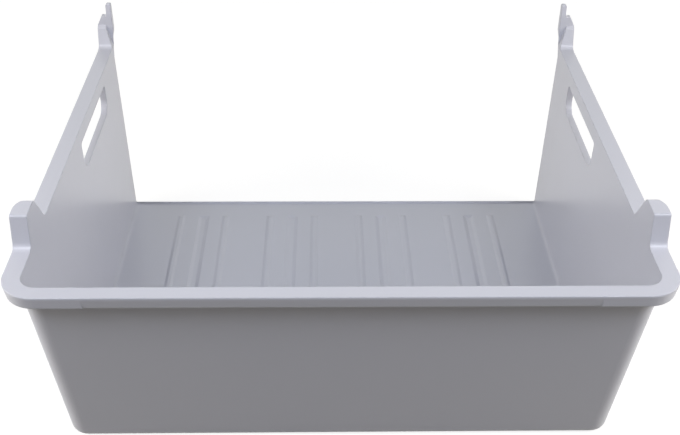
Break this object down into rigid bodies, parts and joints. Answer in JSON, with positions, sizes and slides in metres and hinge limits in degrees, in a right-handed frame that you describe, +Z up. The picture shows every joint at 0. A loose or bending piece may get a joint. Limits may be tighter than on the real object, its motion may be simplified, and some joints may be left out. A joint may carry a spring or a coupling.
{
  "type": "freezer drawer",
  "caption": "Moulded plastic freezer drawer tub with an outward rim flange, raised rear ears, side hand slots, a ribbed floor and an open front with hooking posts.",
  "frame": {"origin": "on the underside, at the middle of the overall width and depth", "axes": "+X across the drawer, +Y from the rear wall towards the open front, +Z up out of the drawer"},
  "size_m": [0.43, 0.3694, 0.2097],
  "materials": {
    "body_plastic": "satin light grey moulded polystyrene"
  },
  "bodies": {
    "root": {"drawer_body": "body_plastic"}
  },
  "joints": []
}
